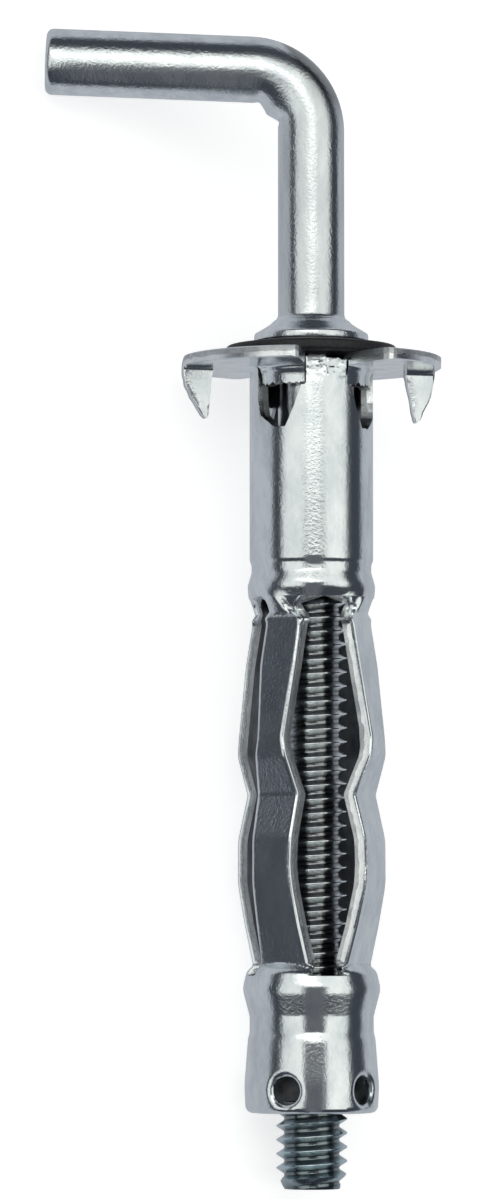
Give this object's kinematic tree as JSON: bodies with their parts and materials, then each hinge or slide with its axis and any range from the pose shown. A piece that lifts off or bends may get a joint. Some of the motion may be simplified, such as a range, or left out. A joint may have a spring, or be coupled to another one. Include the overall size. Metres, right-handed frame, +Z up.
{
  "type": "hollow wall anchor with a hook",
  "caption": "Hollow wall anchor: a right-angle hook screw in a slotted, pre-bent sheet sleeve with a clawed flange, a retaining washer and a captive nut.",
  "frame": {"origin": "on the anchor's axis, at the underside of the flange, where it meets the wall's face; the anchor lies at rest, so the surface below it is 8.97 mm under the origin", "axes": "+Y along the anchor towards the hook, 4.9 degrees off its axis because the flange props it up; +Z up from the surface that it lies on; the hook's arm points to -X and 28.6 degrees down, until its tip touches"},
  "size_m": [0.0261, 0.0808, 0.018],
  "materials": {
    "plated_wire": "bright zinc plating on drawn wire",
    "black_washer": "matt black",
    "plated_sheet": "bright zinc plating on pressed sheet",
    "plated_nut": "zinc plating on a turned nut"
  },
  "bodies": {
    "sleeve": {"expansion_sleeve": "plated_sheet", "threaded_nut": "plated_nut"},
    "retainer": {"washer": "black_washer"},
    "hook": {"hook_screw": "plated_wire"}
  },
  "joints": [
    {"name": "screw_lift", "type": "slide", "parent": "sleeve", "child": "retainer", "axis": [0, 0.9963, 0.0859], "range_m": [0, 0.00864]},
    {"name": "screw_turn", "type": "hinge", "parent": "retainer", "child": "hook", "pos_m": [0, 0, 0], "axis": [0, 0.9963, 0.0859], "range_deg": [0, 3240]}
  ],
  "couplings": [
    {"joint": "screw_lift", "follows": "screw_turn", "m_per_rad": 0.00015279}
  ]
}
